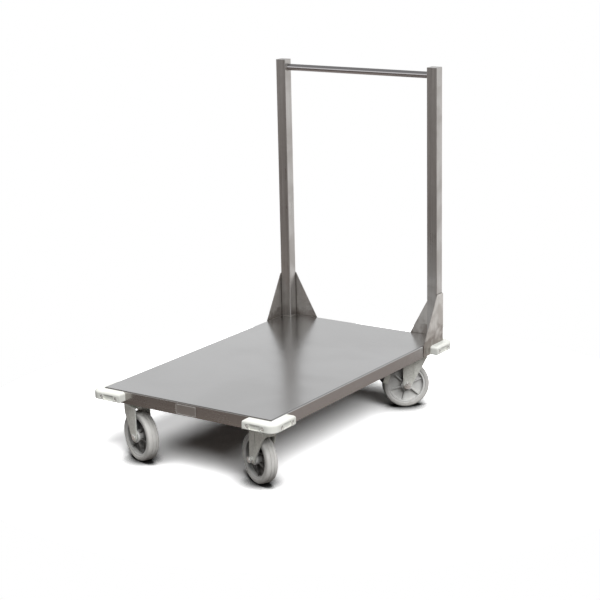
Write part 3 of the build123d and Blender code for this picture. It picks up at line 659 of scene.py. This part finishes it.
def underWelds(look):
    # Short runs at even steps along both edges of each stiffener and one edge of each beam.
    radius, half, margin = look["radius"], look["half"], look["stiffenerMargin"]
    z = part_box("deck_pan")[1].z - look["belowTop"]
    seams = []
    for name in ("left_stiffener", "right_stiffener"):
        low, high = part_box(name)
        for y in np.linspace(low.y + margin, high.y - margin, look["stiffenerRuns"]):
            seams += [((x, y - half, z), (x, y + half, z), radius) for x in (low.x, high.x)]
    margin = look["beamMargin"]
    for name in ("front_beam", "rear_beam"):
        low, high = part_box(name)
        y = high.y if name == "front_beam" else low.y
        for x in np.linspace(low.x + margin, high.x - margin, look["beamRuns"]):
            seams.append(((x - half, y, z), (x + half, y, z), radius))
    weldBeads("underDeckWelds", seams, pitch=look["pitch"])


frameWelds(seamSizes, seamPlaces)
underWelds(stitches)
print("welds: done")

# Small raised shapes

reliefs = {
    "rimInset": 0.0012,  # metres, from the bare plate's edge to the middle of its raised rim
    "rimCorner": 0.0016,
    "rimRadius": 0.0005,
    "rimSteps": 7,  # points on each rounded corner
    "sidewallRings": (0.0545, 0.0572),  # distances from the axle
    "sidewall": 0.0150,  # from the wheel's middle plane to the sidewall
    "ringRadius": 0.00035,
    "ringSteps": 96,
    "ridgeAngles": (13.0, 16.0, 19.0, 22.0, 24.5),  # degrees above level, about the axle
    "ridgeReach": 0.0713,  # from the axle to the pad's face
    "ridgeHalf": 0.0120,
    "ridgeRadius": 0.0007,
    "ridgePitch": 0.1,  # longer than a ridge, so that it has no ripples
}


def plateRim(look):
    # A quarter turn at each corner, joined by straight sides.
    low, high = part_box("label_plate")
    inset, radius = look["rimInset"] + look["rimCorner"], look["rimCorner"]
    x = np.array([high.x - inset, low.x + inset, low.x + inset, high.x - inset])[:, None]
    z = np.array([high.z - inset, high.z - inset, low.z + inset, low.z + inset])[:, None]
    angle = np.radians(np.linspace(0, 90, look["rimSteps"])[None, :] + 90 * np.arange(4)[:, None])
    x, z = x + radius * np.cos(angle), z + radius * np.sin(angle)
    path = np.stack([x, np.full_like(x, low.y), z], -1).reshape(-1, 3)
    loopTube("labelRim", path, (0, -1, 0), look["rimRadius"], "cart", "boltZinc")


def sidewallRings(name, look):
    # Circles about the axle, on both faces of the tyre.
    spin = jointOf[name + "_wheel"]
    centre, axle = np.array(spin["pos_m"], float), np.array(spin["axis"], float)
    first, second = sideways(axle)
    angle = circleAngles(look["ringSteps"])[:, None]
    circle = first * np.cos(angle) + second * np.sin(angle)
    for index, reach in enumerate(look["sidewallRings"]):
        for side, label in ((-1, "Inner"), (1, "Outer")):
            path = centre + side * look["sidewall"] * axle + circle * reach
            loopTube("%sTyreRing%s%d" % (name, label, index), path, axle, look["ringRadius"],
                     name + "_wheel", "tyreRubber")


def padRidges(name, look):
    # Bars across the pad. Each lies at its own angle about the axle, on the side away from
    # the swivel.
    spin, turn = jointOf[name + "_wheel"], jointOf[name + "_swivel"]
    centre, axle = np.array(spin["pos_m"], float), np.array(spin["axis"], float)
    away = centre - np.array(turn["pos_m"], float)
    away[2] = 0.0
    away /= np.linalg.norm(away)
    half = look["ridgeHalf"] * axle
    seams = []
    for angle in np.radians(look["ridgeAngles"]):
        spoke = away * np.cos(angle) + np.array([0, 0, 1]) * np.sin(angle)
        middle = centre + look["ridgeReach"] * spoke
        seams.append((middle - half, middle + half, look["ridgeRadius"]))
    weldBeads(name + "PadRidges", seams, name + "_pedal", look["ridgePitch"], "padRubber")


plateRim(reliefs)
for name in casters:
    sidewallRings(name, reliefs)
for name in brakedCasters:
    padRidges(name, reliefs)
print("reliefs: done")

# Floor, lamps and backdrop

studio = {
    "floorCentre": (0.05, 0.10),  # metres
    "floorRadius": 0.96,
    "floorSides": 128,
    "floorColour": 1.85,  # seen by the camera only
    "contactReach": 0.14,  # how far from a wheel its soft contact shadow goes
    "contactFrom": 0.46,  # share of open sky at which the shadow is deepest
    "contactTo": 0.99,
    "contactSamples": 16,
    "contactLevel": 0.01,  # what is left of the floor's colour there
    "mirroredColour": (0.30, 0.262, 0.24),  # the floor as the metal sees it
    "bounceColour": (0.075, 0.070, 0.066),  # the floor as a source of soft light
    # tilts about x and y in degrees
    "keyLamp": {"strength": 3.9, "angle": 43.0, "tilt": (20.0, 40.0)},  # from the right
    "fillLamp": {"strength": 1.0, "angle": 42.0, "tilt": (12.0, -15.0)},  # overhead
    "frontLamp": {"strength": 0.50, "angle": 40.0, "tilt": (62.0, -8.0)},  # low, for front faces
    "backLamp": {"strength": 1.1, "angle": 40.0, "tilt": (-45.0, -45.0)},  # for rear and left faces
    "skyLight": 0.010,
    "brightSide": (0.12, 0.99),  # the side from which the metal sees a bright room
    "brightFrom": -0.80,
    "brightTo": 0.60,
    "dimColour": (0.165, 0.140, 0.129),
    "lowColour": (0.93, 0.92, 0.91),
    "horizonBlur": 0.03,  # sine of the elevation
    "highFrom": 0.16,
    "highTo": 0.62,
    "highLevel": 0.30,
}


def makeFloor(look):
    # A level disc: each point is the radius times the cosine and sine of its angle. One ring of
    # points is at half the radius and one at the whole.
    sides = look["floorSides"]
    angle = circleAngles(sides)
    rings = np.array([0.5, 1.0])[:, None] * look["floorRadius"]
    x = rings * np.cos(angle) + look["floorCentre"][0]
    y = rings * np.sin(angle) + look["floorCentre"][1]
    points = np.stack([x, y, np.zeros_like(x)], -1).reshape(-1, 3)
    faces = gridFaces(2, sides, False, True)[:, ::-1].tolist() + [tuple(range(sides))]
    mesh = bpy.data.meshes.new("floor")
    mesh.from_pydata(points.tolist(), [], faces)
    floor = bpy.data.objects.new("floor", mesh)
    bpy.context.scene.collection.objects.link(floor)
    material = bpy.data.materials.new("floorPaper")
    material.use_nodes = True
    tree = material.node_tree
    tree.nodes.clear()
    level = look["floorColour"]
    path = tree.nodes.new("ShaderNodeLightPath").outputs
    near = addNode(tree, "ShaderNodeAmbientOcclusion", {"Distance": look["contactReach"]},
                   samples=look["contactSamples"])
    contact = rangeNode(tree, near.outputs["AO"], look["contactFrom"], look["contactTo"],
                        look["contactLevel"], 1.0, True)
    seen = mixColour(tree, contact, (0.0, 0.0, 0.0, 1.0), (level, level, level, 1.0))
    colour = mixColour(tree, path["Is Diffuse Ray"], (*look["mirroredColour"], 1.0),
                       (*look["bounceColour"], 1.0))
    colour = mixColour(tree, path["Is Camera Ray"], colour, seen)
    paper = addNode(tree, "ShaderNodeBsdfDiffuse", {"Color": colour})
    # From below the floor is see-through, so that the underside can be looked at.
    clear = tree.nodes.new("ShaderNodeBsdfTransparent")
    below = tree.nodes.new("ShaderNodeNewGeometry").outputs["Backfacing"]
    surface = addNode(tree, "ShaderNodeMixShader", {0: below, 1: paper.outputs[0], 2: clear.outputs[0]})
    output = tree.nodes.new("ShaderNodeOutputMaterial")
    tree.links.new(surface.outputs[0], output.inputs["Surface"])
    mesh.materials.append(material)
    return floor


def makeLamp(name, look, spared=None):
    # A spared piece gets no light from the lamp.
    lamp = bpy.data.lights.new(name, "SUN")
    lamp.energy = look["strength"]
    lamp.angle = math.radians(look["angle"])
    holder = bpy.data.objects.new(name, lamp)
    holder.rotation_euler = [math.radians(look["tilt"][0]), math.radians(look["tilt"][1]), 0.0]
    holder.visible_glossy = False  # the metal's highlights come from the backdrop
    bpy.context.scene.collection.objects.link(holder)
    if spared:
        group = bpy.data.collections.new(name + "Spares")
        group.objects.link(spared)
        group.collection_objects[0].light_linking.link_state = "EXCLUDE"
        holder.light_linking.receiver_collection = group


def makeBackdrop(look):
    # The camera sees white past the floor. The metal sees white above the horizon, dimmer
    # overhead, and below it a room that is bright behind the cart and dim in front. How bright
    # depends on the direction's part along the bright side. Everything else gets a faint light.
    world = bpy.data.worlds.new("backdrop")
    bpy.context.scene.world = world
    world.use_nodes = True
    tree = world.node_tree
    tree.nodes.clear()
    path = tree.nodes.new("ShaderNodeLightPath").outputs
    direction = tree.nodes.new("ShaderNodeTexCoord").outputs["Generated"]
    east, north, up = addNode(tree, "ShaderNodeSeparateXYZ", {0: direction}).outputs
    along = mathNode(tree, "ADD", mathNode(tree, "MULTIPLY", east, look["brightSide"][0]),
                     mathNode(tree, "MULTIPLY", north, look["brightSide"][1]))
    share = rangeNode(tree, along, look["brightFrom"], look["brightTo"], 0.0, 1.0, True)
    low = mixColour(tree, share, (*look["dimColour"], 1.0), (*look["lowColour"], 1.0))
    level = rangeNode(tree, up, look["highFrom"], look["highTo"], 0.0, 1.0, True)
    dimmer = look["highLevel"]
    high = mixColour(tree, level, (1.0, 1.0, 1.0, 1.0), (dimmer, dimmer, dimmer, 1.0))
    blur = look["horizonBlur"]
    room = mixColour(tree, rangeNode(tree, up, -blur, blur, 0.0, 1.0, True), low, high)
    mirrored = mathNode(tree, "MAXIMUM", path["Is Glossy Ray"], path["Is Transmission Ray"])
    noBounce = mathNode(tree, "LESS_THAN", path["Diffuse Depth"], 0.5)
    mirrored = mathNode(tree, "MULTIPLY", mirrored, noBounce)
    sky = look["skyLight"]
    seen = mixColour(tree, mirrored, (sky, sky, sky, 1.0), room)
    seen = mixColour(tree, path["Is Camera Ray"], seen, (1.0, 1.0, 1.0, 1.0))
    light = addNode(tree, "ShaderNodeBackground", {"Color": seen, "Strength": 1.0})
    output = tree.nodes.new("ShaderNodeOutputWorld")
    tree.links.new(light.outputs[0], output.inputs["Surface"])


floor = makeFloor(studio)
makeLamp("keyLamp", studio["keyLamp"])
makeLamp("fillLamp", studio["fillLamp"])
makeLamp("frontLamp", studio["frontLamp"], floor)
makeLamp("backLamp", studio["backLamp"], floor)
makeBackdrop(studio)
print("studio: floor, lamps and backdrop")
